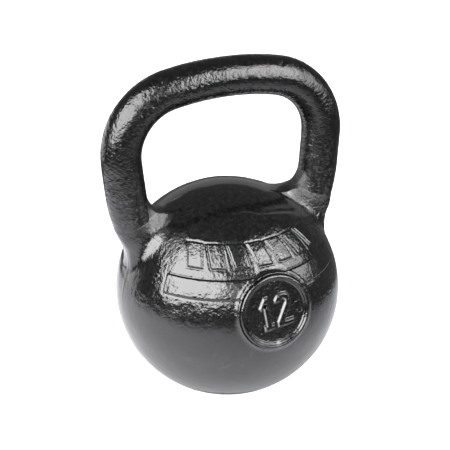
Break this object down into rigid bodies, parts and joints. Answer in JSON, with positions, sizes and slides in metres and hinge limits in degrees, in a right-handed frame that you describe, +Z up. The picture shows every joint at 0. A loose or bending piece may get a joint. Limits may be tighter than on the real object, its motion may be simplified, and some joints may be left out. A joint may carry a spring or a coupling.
{
  "type": "kettlebell",
  "caption": "Cast ball with a flat foot and one bent bar handle arching over a hand window, with a round number badge on the front, for swinging and lifting.",
  "frame": {"origin": "centre of the flat foot, on the floor", "axes": "+Z up; +X along the handle, towards the right when the number badge faces the viewer; -Y is the front, where the badge is"},
  "size_m": [0.1552, 0.1467, 0.2169],
  "materials": {
    "ball_enamel": "gloss black enamel over rough cast iron",
    "bar_enamel": "gloss black enamel over a rough bar with a fine transverse ripple",
    "badge_enamel": "gloss black enamel, smoother than the ball",
    "pin_enamel": "enamelled over, dark in its recess",
    "plug_enamel": "black enamel, worn flat on the face",
    "bare_steel": "bare turned steel",
    "seal_rubber": "matt black rubber",
    "packing_felt": "grey pressed felt"
  },
  "bodies": {
    "root": {"ball_casting": "ball_enamel", "handle_bar": "bar_enamel", "anchor_pin_left": "bare_steel", "anchor_pin_right": "bare_steel", "number_badge": "badge_enamel", "badge_pin_left": "pin_enamel", "badge_pin_right": "pin_enamel", "base_plug": "plug_enamel", "plug_seal": "seal_rubber", "packing_disc": "packing_felt", "trim_slug_1": "bare_steel", "trim_slug_2": "bare_steel", "trim_slug_3": "bare_steel", "trim_slug_4": "bare_steel"}
  },
  "joints": []
}
